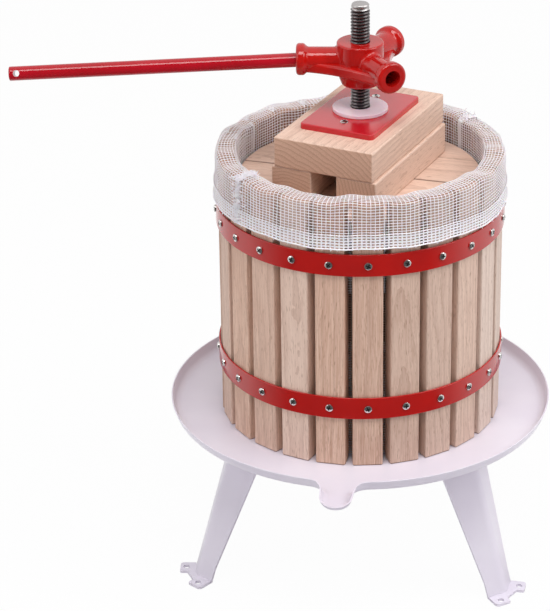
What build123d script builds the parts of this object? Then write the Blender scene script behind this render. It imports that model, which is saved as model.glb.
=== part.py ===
"""Hand-turned basket fruit press on a three-legged juice tray.

The frame stands on the floor plane, centred on the spindle: +Z up, the pouring spout towards -Y.
Millimetres throughout. Plan angles are measured from +X towards +Y.
"""

import os
from math import asin, cos, radians, sin, sqrt, tan

from build123d import *

os.makedirs("parts", exist_ok=True)

# Fits shared by several pieces
seat_gap = 0.3
screw_clearance = 0.1
bolt_clearance = 0.4
thread_clearance = 0.3

# Juice tray, a shallow pressed pan
tray_radius = 205.0
tray_depth = 12.0
tray_sheet = 1.6
tray_wall_lean = 20.0
tray_corner_radius = 7.0
tray_rim_radius = 0.6

# Pouring spout drawn out of the pan's wall
spout_reach = 42.8
spout_half_width = 13.8
spout_root_radius = 20.0
spout_lip_height = 4.0

# Legs, bent from sheet into an open vee with the corner outwards
leg_height = 175.4
leg_sheet = 3.0
leg_bend_angle = 25.0
leg_bend_radius = 14.0
leg_spread_angle = 60.0
leg_inset = 61.1
leg_top_half_width = 43.5
leg_splay = 53.3
leg_foot_half_width = 21.6
leg_knee_height = 16.0

# Feet, two tabs turned outwards with a notch between them
tab_width = 17.6
tab_length = 16.5
tab_notch_depth = 8.2
tab_corner_radius = 4.0
tab_tip_radius = 2.2
foot_hole_inset = 6.6
foot_hole_radius = 3.4

# Shelf at each leg's top and the bolts through it
shelf_depth = 38.0
shelf_half_width = 30.0
leg_bolt_radius = 4.0
leg_bolt_inset = 22.0
leg_bolt_half_spacing = 18.0
leg_bolt_head_radius = 8.0
leg_bolt_head_height = 3.6
leg_bolt_tail = 4.0
leg_nut_radius = 7.5
leg_nut_height = 6.5

# Spindle and its clamp through the tray
spindle_radius = 10.0
spindle_above_nut = 41.0
spindle_chamfer = 1.6
spindle_tail = 4.0
stiffener_radius = 62.0
stiffener_thickness = 4.0
clamp_washer_radius = 19.0
clamp_washer_thickness = 3.0
clamp_nut_radius = 17.3
clamp_nut_height = 16.0

# Slatted basket
stave_count = 24
stave_phase = 9.2
stave_length = 294.0
stave_width = 31.0
stave_thickness = 18.0
stave_edge_radius = 1.6
stave_end_chamfer = 1.0
basket_radius = 150.0

# Hoops round the staves and their screws
band_height = 24.0
band_thickness = 2.0
band_edge_radius = 0.6
lower_band_level = 67.8
upper_band_drop = 64.4
band_screw_radius = 1.8
band_screw_length = 14.0
band_screw_head_radius = 4.1
band_screw_head_height = 2.4

# Press bag folded over the basket's rim
bag_thickness = 0.9
bag_fold_lift = 0.6
bag_fold_radius = 2.6
bag_skirt_depth = 46.1
bag_skirt_flare = 2.4
bag_neck_gap = 5.0

# Pressing disc, two halves of two boards each
disc_clearance = 3.0
disc_thickness = 22.0
disc_sink = 27.5
disc_board_width = 64.0
disc_split_gap = 1.2
disc_seam_gap = 0.2
disc_edge_radius = 0.8
disc_angle = -9.5
wood_bore_gap = 2.5

# Rails and pressure block
stack_angle = -18.4
rail_width = 44.5
rail_height = 33.0
rail_length = 181.0
rail_gap = 28.0
block_width = 110.5
block_height = 32.5
block_length = 183.0
wood_edge_radius = 1.8

# Pressure plate and its nylon washer
plate_width = 82.5
plate_length = 121.0
plate_thickness = 6.0
plate_corner_radius = 5.0
plate_edge_radius = 1.3
plate_bore_gap = 1.5
plate_screw_spacing = 79.0
plate_screw_radius = 2.0
plate_screw_length = 18.0
plate_screw_head_radius = 4.3
plate_screw_head_height = 2.2
thrust_washer_radius = 28.8
thrust_washer_thickness = 4.0
thrust_washer_bore_gap = 0.5
thrust_washer_edge_radius = 0.8

# Cast nut with three lever sockets
nut_lift = 24.5
hub_radius = 24.4
hub_height = 46.5
hub_edge_radius = 2.0
hub_foot_radius = 19.0
hub_foot_edge_radius = 4.0
hub_taper_height = 14.0
hub_shoulder_radius = 40.0
socket_count = 3
socket_phase = 66.0
socket_level = 27.0
socket_tube_radius = 13.0
socket_reach = 66.0
socket_end_wall = 6.7
collar_radius = 16.6
collar_length = 8.0
collar_flare = 4.0
collar_edge_radius = 3.4
web_thickness = 11.0
web_drop = 6.0
web_setback = 9.0
web_half_width = 10.5
web_waist_radius = 31.0
web_edge_radius = 3.0
cast_fillet_radius = 3.5

# Lever bar resting loosely in one socket
lever_socket = 1
lever_radius = 7.4
lever_length = 332.0
lever_insert = 36.0
lever_slack = 1.1
lever_rest_gap = 0.15
lever_edge_radius = 1.2
lever_hole_radius = 3.3
lever_hole_inset = 8.0
lever_hole_tilt = 20.0

# Heights that follow from the pieces below
tray_floor = leg_height + tray_sheet
tray_rim = tray_floor + tray_depth
stave_top = tray_floor + stave_length
disc_top = stave_top - disc_sink
disc_base = disc_top - disc_thickness
block_base = disc_top + rail_height
plate_base = block_base + block_height
washer_base = plate_base + plate_thickness
nut_base = washer_base + thrust_washer_thickness + nut_lift
socket_height = nut_base + socket_level
spindle_top = nut_base + hub_height + spindle_above_nut

# Radii that follow from the tray, the basket and the spindle
leg_top_corner = tray_radius - leg_inset
leg_foot_corner = leg_top_corner + leg_splay
stave_face = sqrt(basket_radius**2 - (stave_width / 2) ** 2)
stave_back = stave_face - stave_thickness
band_inner = basket_radius
band_outer = band_inner + band_thickness
bag_wall = stave_back - seat_gap
bag_skirt = basket_radius + seat_gap
bag_neck_radius = clamp_washer_radius + bag_neck_gap
disc_radius = bag_wall - bag_thickness - disc_clearance
wood_bore_radius = spindle_radius + wood_bore_gap
socket_floor = spindle_radius + thread_clearance + socket_end_wall
socket_bore_radius = lever_radius + lever_slack
web_reach = socket_reach - web_setback

# Plan angles of what repeats round the spindle
spout_angle = -90.0
leg_angles = {
    "leg_left": spout_angle - leg_spread_angle,
    "leg_right": spout_angle + leg_spread_angle,
    "leg_back": spout_angle + 180.0,
}
stave_angles = [spout_angle + stave_phase + 360.0 / stave_count * turn for turn in range(stave_count)]
socket_angles = [socket_phase + 360.0 / socket_count * turn for turn in range(socket_count)]


def reach_direction(angle):
    """Return the level direction at a plan angle."""
    return Vector(cos(radians(angle)), sin(radians(angle)), 0)


def level_plane(angle, height):
    """Return the level plane at a height, its x turned to a plan angle."""
    return Plane(origin=(0, 0, height), x_dir=reach_direction(angle), z_dir=(0, 0, 1))


def section_plane(angle, height):
    """Return the upright plane through the spindle, its x outwards and its y up."""
    return Plane(origin=(0, 0, height), x_dir=reach_direction(angle), z_dir=reach_direction(angle - 90.0))


def outward_plane(angle, radius, height):
    """Return the upright plane that faces away from the spindle, its x sideways and its y up."""
    origin = reach_direction(angle) * radius + Vector(0, 0, height)
    return Plane(origin=origin, x_dir=reach_direction(angle + 90.0), z_dir=reach_direction(angle))


def save(piece, name):
    """Label a finished piece and write its file."""
    piece.label = name
    export_step(piece, f"parts/{name}.step")


# Where each leg is bolted, measured out from the spindle along the leg
leg_bolt_reach = leg_top_corner - leg_top_half_width * tan(radians(leg_bend_angle)) - leg_bolt_inset
leg_bolt_points = [
    reach_direction(angle) * leg_bolt_reach + reach_direction(angle + 90.0) * side * leg_bolt_half_spacing
    for angle in leg_angles.values()
    for side in (-1, 1)
]

# Juice tray: a flared pan whose outline runs out into the spout
lean_slope = tan(radians(tray_wall_lean))
pan_height = tray_depth + tray_sheet
pan_foot_radius = tray_radius - pan_height * lean_slope
pan_wall_inset = tray_sheet / cos(radians(tray_wall_lean)) - tray_sheet * lean_slope
with BuildPart() as tray:
    with BuildSketch(Plane.XY.offset(leg_height)) as pan_outline:
        Circle(pan_foot_radius)
        with Locations((0, -(pan_foot_radius + spout_reach) / 2)):
            SlotOverall(pan_foot_radius + spout_reach, 2 * spout_half_width, rotation=90)
        # Behind the two ends of the tip's round come the two roots
        fillet(pan_outline.vertices().sort_by(Axis.Y)[2:4], spout_root_radius)
    extrude(amount=pan_height, taper=-tray_wall_lean)
    fillet(tray.faces().sort_by(Axis.Z)[0].edges(), tray_corner_radius + tray_sheet)
    # The inside follows the same outline, one sheet further in
    with BuildSketch(Plane.XY.offset(tray_floor)):
        add(pan_outline.sketch_local)
        offset(amount=-pan_wall_inset, mode=Mode.REPLACE)
    extrude(amount=tray_depth, taper=-tray_wall_lean, mode=Mode.SUBTRACT)
    level_faces = tray.faces().filter_by(Plane.XY).sort_by(Axis.Z)
    fillet(level_faces[1].edges(), tray_corner_radius)
    # The spout's lips fall from the rim to the tip
    with BuildSketch(Plane.YZ):
        with BuildLine():
            spout_tip = -tray_radius - spout_reach
            Polyline(
                (-tray_radius, tray_rim),
                (spout_tip, tray_floor + spout_lip_height),
                (spout_tip, tray_rim + tray_depth),
                (-tray_radius, tray_rim + tray_depth),
                close=True,
            )
        make_face()
    extrude(amount=tray_radius, both=True, mode=Mode.SUBTRACT)
    fillet(tray.faces().sort_by(Axis.Z)[-1].edges().filter_by(GeomType.CIRCLE), tray_rim_radius)
    with BuildSketch(Plane.XY.offset(leg_height)):
        Circle(spindle_radius + bolt_clearance)
        with Locations(leg_bolt_points):
            Circle(leg_bolt_radius + bolt_clearance)
    extrude(amount=tray_sheet, mode=Mode.SUBTRACT)
save(tray.part, "tray")

# Legs: a tapering vee with a bolted shelf above and two drilled tabs below
bend_slope = tan(radians(leg_bend_angle))
flange_normal = Vector(cos(radians(leg_bend_angle)), sin(radians(leg_bend_angle)))
flange_run = Vector(sin(radians(leg_bend_angle)), -cos(radians(leg_bend_angle)))
leg_lean = (leg_foot_corner - leg_top_corner) / leg_height
knee_corner = leg_foot_corner - leg_knee_height * leg_lean
tab_radii = [tab_corner_radius, tab_tip_radius, tab_tip_radius]
leg_stations = [
    (0.0, leg_foot_corner, leg_foot_half_width),
    (leg_knee_height, knee_corner, leg_foot_half_width),
    (leg_height, leg_top_corner, leg_top_half_width),
]
for leg_name, leg_angle in leg_angles.items():
    with BuildPart() as leg:
        for station_height, corner, half_width in leg_stations:
            with BuildSketch(level_plane(leg_angle, station_height)):
                with BuildLine():
                    edge = Vector(corner - half_width * bend_slope, half_width)
                    inner_edge = edge - flange_normal * leg_sheet
                    inner_corner = corner - leg_sheet / cos(radians(leg_bend_angle))
                    FilletPolyline(
                        (edge.X, edge.Y),
                        (corner, 0),
                        (edge.X, -edge.Y),
                        (inner_edge.X, -inner_edge.Y),
                        (inner_corner, 0),
                        (inner_edge.X, inner_edge.Y),
                        radius=[0, leg_bend_radius, 0, 0, leg_bend_radius - leg_sheet, 0],
                        close=True,
                    )
                make_face()
        loft(ruled=True)
        # Shelf that meets the tray
        with BuildSketch(level_plane(leg_angle, leg_height - leg_sheet)):
            with BuildLine():
                shelf_edge = leg_top_corner - leg_top_half_width * bend_slope
                Polyline(
                    (leg_top_corner - leg_sheet, 0),
                    (shelf_edge, leg_top_half_width - leg_sheet),
                    (shelf_edge - shelf_depth, shelf_half_width),
                    (shelf_edge - shelf_depth, -shelf_half_width),
                    (shelf_edge, leg_sheet - leg_top_half_width),
                    close=True,
                )
            make_face()
            with Locations((leg_bolt_reach, leg_bolt_half_spacing), (leg_bolt_reach, -leg_bolt_half_spacing)):
                Circle(leg_bolt_radius + bolt_clearance, mode=Mode.SUBTRACT)
        extrude(amount=leg_sheet)
        # Tabs on the floor
        with BuildSketch(level_plane(leg_angle, 0)):
            with BuildLine():
                tab_root = Vector(leg_foot_corner - leg_foot_half_width * bend_slope, leg_foot_half_width)
                tab_outer = tab_root + flange_normal * tab_length
                tab_tip = tab_outer + flange_run * tab_width
                tab_notch = tab_tip - flange_normal * tab_notch_depth
                half = [tab_root, tab_outer, tab_tip, tab_notch]
                other_half = [Vector(point.X, -point.Y) for point in reversed(half)]
                heel = Vector(leg_foot_corner - leg_sheet / cos(radians(leg_bend_angle)), 0)
                FilletPolyline(
                    *half,
                    *other_half,
                    heel,
                    radius=[0, *tab_radii, *reversed(tab_radii), 0, 0],
                    close=True,
                )
            make_face()
            hole = tab_outer - flange_normal * foot_hole_inset + flange_run * (tab_width / 2)
            with Locations((hole.X, hole.Y), (hole.X, -hole.Y)):
                Circle(foot_hole_radius, mode=Mode.SUBTRACT)
        extrude(amount=leg_sheet)
    save(leg.part, leg_name)

# Bolts through the tray and the shelves, with their nuts
with BuildPart() as leg_bolts:
    with BuildSketch(Plane.XY.offset(tray_floor)):
        with Locations(leg_bolt_points):
            Circle(leg_bolt_head_radius)
    extrude(amount=leg_bolt_head_height)
    with BuildSketch(Plane.XY.offset(tray_floor)):
        with Locations(leg_bolt_points):
            Circle(leg_bolt_radius)
    extrude(amount=-(tray_sheet + leg_sheet + leg_nut_height + leg_bolt_tail))
save(leg_bolts.part, "leg_bolts")

with BuildPart() as leg_nuts:
    with BuildSketch(Plane.XY.offset(leg_height - leg_sheet)):
        with Locations(leg_bolt_points):
            RegularPolygon(leg_nut_radius, 6)
            Circle(leg_bolt_radius + screw_clearance, mode=Mode.SUBTRACT)
    extrude(amount=-leg_nut_height)
save(leg_nuts.part, "leg_nuts")

# Stiffener under the tray, spindle, and the two washers and nuts that clamp it
stiffener_base = leg_height - stiffener_thickness
clamp_base = stiffener_base - clamp_washer_thickness
with BuildPart() as stiffener:
    with BuildSketch(Plane.XY.offset(stiffener_base)):
        Circle(stiffener_radius)
        Circle(spindle_radius + bolt_clearance, mode=Mode.SUBTRACT)
    extrude(amount=stiffener_thickness)
save(stiffener.part, "stiffener_plate")

spindle_base = clamp_base - clamp_nut_height - spindle_tail
with BuildPart() as spindle:
    with BuildSketch(Plane.XY.offset(spindle_base)):
        Circle(spindle_radius)
    extrude(amount=spindle_top - spindle_base)
    chamfer(spindle.edges().filter_by(GeomType.CIRCLE), spindle_chamfer)
save(spindle.part, "spindle")

with BuildPart() as clamp_washers:
    for washer_level in (clamp_base, tray_floor):
        with BuildSketch(Plane.XY.offset(washer_level)):
            Circle(clamp_washer_radius)
            Circle(spindle_radius + bolt_clearance, mode=Mode.SUBTRACT)
        extrude(amount=clamp_washer_thickness)
save(clamp_washers.part, "clamp_washers")

with BuildPart() as clamp_nuts:
    for nut_level in (clamp_base - clamp_nut_height, tray_floor + clamp_washer_thickness):
        with BuildSketch(Plane.XY.offset(nut_level)):
            RegularPolygon(clamp_nut_radius, 6)
            Circle(spindle_radius + screw_clearance, mode=Mode.SUBTRACT)
        extrude(amount=clamp_nut_height)
save(clamp_nuts.part, "clamp_nuts")

# Staves, each drilled for one screw at each hoop
band_levels = {
    "lower_band": tray_floor + lower_band_level,
    "upper_band": stave_top - upper_band_drop,
}
for number, stave_angle in enumerate(stave_angles, start=1):
    with BuildPart() as stave:
        with BuildSketch(level_plane(stave_angle, tray_floor)) as stave_section:
            with Locations((stave_face - stave_thickness / 2, 0)):
                Rectangle(stave_thickness, stave_width)
            fillet(stave_section.vertices(), stave_edge_radius)
        extrude(amount=stave_length)
        chamfer(stave.faces().filter_by(Plane.XY).edges(), stave_end_chamfer)
        for band_level in band_levels.values():
            with BuildSketch(outward_plane(stave_angle, stave_face, band_level)):
                Circle(band_screw_radius + screw_clearance)
            extrude(amount=-band_screw_length, mode=Mode.SUBTRACT)
    save(stave.part, f"stave_{number:02d}")

# Hoops with a row of holes, and one ring of screws for each
for band_name, band_level in band_levels.items():
    with BuildPart() as band:
        with BuildSketch(Plane.XY.offset(band_level - band_height / 2)):
            Circle(band_outer)
            Circle(band_inner, mode=Mode.SUBTRACT)
        extrude(amount=band_height)
        fillet(band.edges().filter_by(GeomType.CIRCLE), band_edge_radius)
        for stave_angle in stave_angles:
            with BuildSketch(outward_plane(stave_angle, band_outer, band_level)):
                Circle(band_screw_radius + screw_clearance)
            extrude(amount=-2 * band_thickness, mode=Mode.SUBTRACT)
    save(band.part, band_name)

    with BuildPart() as band_screws:
        for stave_angle in stave_angles:
            with BuildSketch(outward_plane(stave_angle, band_outer, band_level)):
                Circle(band_screw_head_radius)
            extrude(amount=band_screw_head_height)
            with BuildSketch(outward_plane(stave_angle, band_outer, band_level)):
                Circle(band_screw_radius)
            extrude(amount=-band_screw_length)
    save(band_screws.part, f"{band_name}_screws")

# Press bag: a lining that rises inside the staves and folds out over their tops
bag_floor = tray_floor + leg_bolt_head_height + seat_gap
bag_rim = stave_top + bag_fold_lift
with BuildPart() as press_bag:
    with BuildSketch(Plane.XZ):
        with BuildLine():
            bag_line = FilletPolyline(
                (bag_neck_radius, bag_floor),
                (bag_wall, bag_floor),
                (bag_wall, bag_rim),
                (bag_skirt, bag_rim),
                (bag_skirt + bag_skirt_flare, bag_rim - bag_skirt_depth),
                radius=bag_fold_radius,
            )
            offset(bag_line, amount=bag_thickness, side=Side.LEFT, closed=True, mode=Mode.ADD)
        make_face()
    revolve(axis=Axis.Z)
save(press_bag.part, "press_bag")

# Pressing disc: boards cut from one circle by the split and the seams
board_strips = {
    "disc_board_1": (-disc_radius, -disc_board_width - disc_seam_gap),
    "disc_board_2": (-disc_board_width, -disc_split_gap / 2),
    "disc_board_3": (disc_split_gap / 2, disc_board_width),
    "disc_board_4": (disc_board_width + disc_seam_gap, disc_radius),
}
for board_name, (near_edge, far_edge) in board_strips.items():
    with BuildPart() as board:
        with BuildSketch(level_plane(disc_angle, disc_base)):
            Circle(disc_radius)
            with Locations((0, (near_edge + far_edge) / 2)):
                Rectangle(2 * disc_radius, far_edge - near_edge, mode=Mode.INTERSECT)
            Circle(wood_bore_radius, mode=Mode.SUBTRACT)
        extrude(amount=disc_thickness)
        fillet(board.faces().sort_by(Axis.Z)[-1].edges(), disc_edge_radius)
    save(board.part, board_name)

# Rails across the split, one each side of the spindle
for rail_name, side in (("rail_left", -1), ("rail_right", 1)):
    with BuildPart() as rail:
        with BuildSketch(level_plane(stack_angle, disc_top)):
            with Locations((side * (rail_gap + rail_width) / 2, 0)):
                Rectangle(rail_width, rail_length)
        extrude(amount=rail_height)
        fillet(rail.edges(), wood_edge_radius)
    save(rail.part, rail_name)

# Pressure block on the rails
plate_screw_points = [(0, plate_screw_spacing / 2), (0, -plate_screw_spacing / 2)]
with BuildPart() as block:
    with BuildSketch(level_plane(stack_angle, block_base)):
        Rectangle(block_width, block_length)
    extrude(amount=block_height)
    fillet(block.edges(), wood_edge_radius)
    with BuildSketch(level_plane(stack_angle, plate_base)):
        Circle(wood_bore_radius)
    extrude(amount=-block_height, mode=Mode.SUBTRACT)
    with BuildSketch(level_plane(stack_angle, plate_base)):
        with Locations(plate_screw_points):
            Circle(plate_screw_radius + screw_clearance)
    extrude(amount=plate_thickness - plate_screw_length, mode=Mode.SUBTRACT)
save(block.part, "pressure_block")

# Steel plate on the block, its two screws and the nylon washer
with BuildPart() as plate:
    with BuildSketch(level_plane(stack_angle, plate_base)):
        RectangleRounded(plate_width, plate_length, plate_corner_radius)
    extrude(amount=plate_thickness)
    fillet(plate.faces().sort_by(Axis.Z)[-1].edges(), plate_edge_radius)
    with BuildSketch(level_plane(stack_angle, plate_base)):
        Circle(spindle_radius + plate_bore_gap)
        with Locations(plate_screw_points):
            Circle(plate_screw_radius + screw_clearance)
    extrude(amount=plate_thickness, mode=Mode.SUBTRACT)
save(plate.part, "pressure_plate")

with BuildPart() as plate_screws:
    with BuildSketch(level_plane(stack_angle, washer_base)):
        with Locations(plate_screw_points):
            Circle(plate_screw_head_radius)
    extrude(amount=plate_screw_head_height)
    with BuildSketch(level_plane(stack_angle, washer_base)):
        with Locations(plate_screw_points):
            Circle(plate_screw_radius)
    extrude(amount=-plate_screw_length)
save(plate_screws.part, "plate_screws")

with BuildPart() as thrust_washer:
    with BuildSketch(Plane.XY.offset(washer_base)):
        Circle(thrust_washer_radius)
        Circle(spindle_radius + thrust_washer_bore_gap, mode=Mode.SUBTRACT)
    extrude(amount=thrust_washer_thickness)
    rim_edges = thrust_washer.edges().filter_by(GeomType.CIRCLE).group_by(SortBy.RADIUS)[-1]
    fillet(rim_edges, thrust_washer_edge_radius)
save(thrust_washer.part, "thrust_washer")

# Webs of the cast nut, one plate that dips inwards between the sockets
with BuildPart() as nut_webs:
    with BuildSketch(Plane.XY.offset(socket_height - web_drop - web_thickness / 2)):
        with BuildLine():
            for socket_angle in socket_angles:
                next_angle = socket_angle + 360.0 / socket_count
                along = reach_direction(socket_angle) * web_reach
                across = reach_direction(socket_angle + 90.0) * web_half_width
                next_along = reach_direction(next_angle) * web_reach
                next_across = reach_direction(next_angle + 90.0) * web_half_width
                waist = reach_direction((socket_angle + next_angle) / 2) * web_waist_radius
                Line(along - across, along + across)
                ThreePointArc(along + across, waist, next_along - next_across)
        make_face()
    extrude(amount=web_thickness)
    fillet(nut_webs.edges().filter_by(GeomType.CIRCLE), web_edge_radius)

# Cast nut: the hub and its three flared sockets run into each other and into the webs
with BuildPart() as press_nut:
    with BuildSketch(Plane.XZ):
        with BuildLine():
            FilletPolyline(
                (0, nut_base),
                (hub_foot_radius, nut_base),
                (hub_radius, nut_base + hub_taper_height),
                (hub_radius, nut_base + hub_height),
                (0, nut_base + hub_height),
                radius=[0, hub_foot_edge_radius, hub_shoulder_radius, hub_edge_radius, 0],
                close=True,
            )
        make_face()
    revolve(axis=Axis.Z)
    for socket_angle in socket_angles:
        socket_plane = section_plane(socket_angle, socket_height)
        with BuildSketch(socket_plane):
            with BuildLine():
                collar_start = socket_reach - collar_length
                FilletPolyline(
                    (0, 0),
                    (0, socket_tube_radius),
                    (collar_start - collar_flare, socket_tube_radius),
                    (collar_start, collar_radius),
                    (socket_reach, collar_radius),
                    (socket_reach, 0),
                    radius=[0, 0, collar_flare, collar_edge_radius, collar_edge_radius, 0],
                    close=True,
                )
            make_face()
        revolve(axis=Axis(socket_plane.origin, socket_plane.x_dir))
    # Where a socket leaves the hub, the seam is neither a circle nor a line
    turned_edges = press_nut.edges().filter_by(GeomType.CIRCLE)
    straight_edges = press_nut.edges().filter_by(GeomType.LINE)
    fillet(press_nut.edges() - turned_edges - straight_edges, cast_fillet_radius)
    add(nut_webs.part)
    with BuildSketch(Plane.XY.offset(nut_base)):
        Circle(spindle_radius + thread_clearance)
    extrude(amount=hub_height, mode=Mode.SUBTRACT)
    for socket_angle in socket_angles:
        with BuildSketch(outward_plane(socket_angle, socket_reach, socket_height)):
            Circle(socket_bore_radius)
        extrude(amount=socket_floor - socket_reach, mode=Mode.SUBTRACT)
save(press_nut.part, "press_nut")

# Lever: it tips about the middle of its socket until it rests on the mouth
lever_angle = socket_angles[lever_socket]
lever_reach = reach_direction(lever_angle)
lever_droop = asin((lever_slack - lever_rest_gap) / (lever_insert / 2))
lever_direction = lever_reach * cos(lever_droop) - Vector(0, 0, sin(lever_droop))
lever_pivot = lever_reach * (socket_reach - lever_insert / 2) + Vector(0, 0, socket_height)
lever_plane = Plane(
    origin=lever_pivot - lever_direction * (lever_insert / 2),
    x_dir=reach_direction(lever_angle + 90.0),
    z_dir=lever_direction,
)
with BuildPart() as lever:
    with BuildSketch(lever_plane):
        Circle(lever_radius)
    extrude(amount=lever_length)
    fillet(lever.edges().filter_by(GeomType.CIRCLE), lever_edge_radius)
    hole_centre = lever_plane.origin + lever_direction * (lever_length - lever_hole_inset)
    hole_direction = lever_plane.x_dir.rotate(Axis((0, 0, 0), lever_direction), lever_hole_tilt)
    with BuildSketch(Plane(origin=hole_centre, x_dir=lever_direction, z_dir=hole_direction)):
        Circle(lever_hole_radius)
    extrude(amount=lever_radius, both=True, mode=Mode.SUBTRACT)
save(lever.part, "lever_bar")
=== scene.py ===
"""Looks of a hand-turned basket fruit press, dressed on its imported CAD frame.

Every length is in metres and every piece stands where the CAD says: +Z up, the spout towards -Y.
"""

import logging
from dataclasses import dataclass
from enum import Enum
from math import atan2, cos, exp, hypot, pi, radians, sin
from random import Random
from typing import Any, Iterable, Sequence

import bmesh
import bpy
from bmesh.types import BMEdge, BMesh, BMVert
from bpy.types import ID, Material, Mesh, Node, NodeSocket, Object, World
from mathutils import Matrix, Vector


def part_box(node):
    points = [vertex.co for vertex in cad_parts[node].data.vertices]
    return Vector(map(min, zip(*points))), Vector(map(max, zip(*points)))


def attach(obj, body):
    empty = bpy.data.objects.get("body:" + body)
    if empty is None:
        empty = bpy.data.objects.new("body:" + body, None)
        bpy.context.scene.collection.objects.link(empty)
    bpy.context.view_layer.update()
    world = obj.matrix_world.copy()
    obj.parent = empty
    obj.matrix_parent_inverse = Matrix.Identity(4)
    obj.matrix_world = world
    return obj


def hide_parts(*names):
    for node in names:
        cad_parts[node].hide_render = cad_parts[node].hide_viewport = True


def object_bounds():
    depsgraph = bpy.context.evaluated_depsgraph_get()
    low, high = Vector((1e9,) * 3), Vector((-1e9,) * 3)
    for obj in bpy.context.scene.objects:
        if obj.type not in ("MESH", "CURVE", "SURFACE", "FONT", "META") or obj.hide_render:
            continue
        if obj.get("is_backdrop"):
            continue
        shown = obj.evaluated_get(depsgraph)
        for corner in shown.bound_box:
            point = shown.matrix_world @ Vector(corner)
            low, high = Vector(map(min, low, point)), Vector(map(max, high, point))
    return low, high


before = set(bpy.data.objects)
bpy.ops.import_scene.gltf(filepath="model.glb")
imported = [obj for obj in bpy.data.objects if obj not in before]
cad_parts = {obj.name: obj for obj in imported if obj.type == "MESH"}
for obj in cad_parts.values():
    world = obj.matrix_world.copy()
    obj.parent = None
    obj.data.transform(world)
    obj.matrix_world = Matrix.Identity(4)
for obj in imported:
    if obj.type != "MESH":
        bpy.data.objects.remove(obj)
CAD_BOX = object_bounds()
LOG = logging.getLogger("fruit_press")
MM = 0.001
UP = Vector((0.0, 0.0, 1.0))
FULL_TURN = 360.0
# Distance between two rings of the wave texture at a scale of 1
WAVE_REPEAT = 0.314
Colour = tuple[float, float, float, float]
Pair = tuple[float, float]
Triple = tuple[float, float, float]
# Radius and height of a line's corners, in millimetres
Outline = tuple[Pair, ...]
# Root and reach of each loose yarn end
Ends = Iterable[tuple[Vector, Vector]]
# Height in millimetres, count round the axis and phase of each wave
Waves = tuple[tuple[float, int, float], ...]


class Body(Enum):
    """Bodies that new pieces ride on."""

    STAND = "stand"
    STACK = "press_stack"


class Slot(Enum):
    """Names of the record's material slots, handed to finish_piece with new pieces."""

    SPINDLE = "spindle_steel"
    SCREWS = "bright_screws"
    NET = "net"


class Blend(Enum):
    """Ways in which one colour lies over another."""

    COVER = "MIX"
    DARKEN = "MULTIPLY"


def linear(code: str, tone: float = 1.0) -> Colour:
    """Turn an sRGB hex colour into a linear one.

    Args:
        code: Colour such as "#EAE5ED".
        tone: Factor on the linear channels, above 1 for a paler board.

    Returns:
        Linear red, green and blue with an alpha of 1.
    """
    channels = [int(code[start : start + 2], 16) / 255.0 for start in (1, 3, 5)]
    curve = [c / 12.92 if c <= 0.04045 else ((c + 0.055) / 1.055) ** 2.4 for c in channels]
    return (*[min(1.0, c * tone) for c in curve], 1.0)


def ease(value: float, start: float, end: float) -> float:
    """Rise smoothly from 0 at start to 1 at end.

    Args:
        value: Where on the way.
        start: Where the rise begins.
        end: Where it ends, above or below start.

    Returns:
        A share from 0 to 1.
    """
    share = min(1.0, max(0.0, (value - start) / (end - start)))
    return share * share * (3.0 - 2.0 * share)


def ripple(turn: float, waves: Waves) -> float:
    """Return the sum of waves round the axis at an angle in radians."""
    return sum(height * sin(count * turn + phase) for height, count, phase in waves)


def outward(angle: float) -> Vector:
    """Return the level direction away from the axis at a plan angle in degrees."""
    return Vector((cos(radians(angle)), sin(radians(angle)), 0.0))


def line_length(spots: Sequence[Vector]) -> float:
    """Return the length of a line of straight runs."""
    return sum((second - first).length for first, second in zip(spots, spots[1:]))


def along_line(spots: Sequence[Vector], way: float) -> Vector:
    """Return the point that lies so far along a line of straight runs.

    Args:
        spots: Corners of the line.
        way: Length from its first corner.

    Returns:
        The point, or the last corner where the line is shorter.
    """
    for first, second in zip(spots, spots[1:]):
        run = (second - first).length
        if way < run:
            return first.lerp(second, way / run)
        way -= run
    return spots[-1].copy()


class Graph:
    """Node tree of one material or world, filled node by node."""

    def __init__(self, owner: Material | World) -> None:
        """Empty the tree of a new material or world."""
        owner.use_nodes = True
        self.owner = owner
        self.tree = owner.node_tree
        self.tree.nodes.clear()

    def add(self, kind: str, sockets: dict[Any, Any] | None = None, **settings: Any) -> Node:
        """Add one node with its settings and links.

        Args:
            kind: Node type without its ShaderNode prefix.
            sockets: Input name or number to a value, a node (its first output) or an output.
            settings: Properties of the node.

        Returns:
            The new node.
        """
        node = self.tree.nodes.new("ShaderNode" + kind)
        for key, value in settings.items():
            setattr(node, key, value)
        for key, value in (sockets or {}).items():
            if isinstance(value, Node):
                value = value.outputs[0]
            if isinstance(value, NodeSocket):
                self.tree.links.new(value, node.inputs[key])
            else:
                node.inputs[key].default_value = value
        return node


@dataclass(frozen=True)
class Finish:
    """Surface whose colour and gloss drift together a little."""

    name: str
    light: str
    shade: str
    roughness: Pair

    def drifting(self, graph: Graph, place: NodeSocket, size: float, detail: float) -> dict:
        """Let the colour and the gloss drift in soft clouds.

        Args:
            graph: Node tree of the material.
            place: Point on the surface.
            size: Width of a cloud.
            detail: How finely the clouds break up.

        Returns:
            What the shader's colour and roughness take.
        """
        cloud = graph.add("TexNoise", {"Vector": place, "Scale": 1.0 / size, "Detail": detail})
        share = graph.add("MapRange", {"Value": cloud, "From Min": 0.3, "From Max": 0.7})
        colours = {0: share, 6: linear(self.light), 7: linear(self.shade)}
        tint = graph.add("Mix", colours, data_type="RGBA")
        smooth, rough = self.roughness
        gloss = graph.add("MapRange", {"Value": share, "To Min": smooth, "To Max": rough})
        return {"Base Color": tint.outputs[2], "Roughness": gloss}


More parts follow.
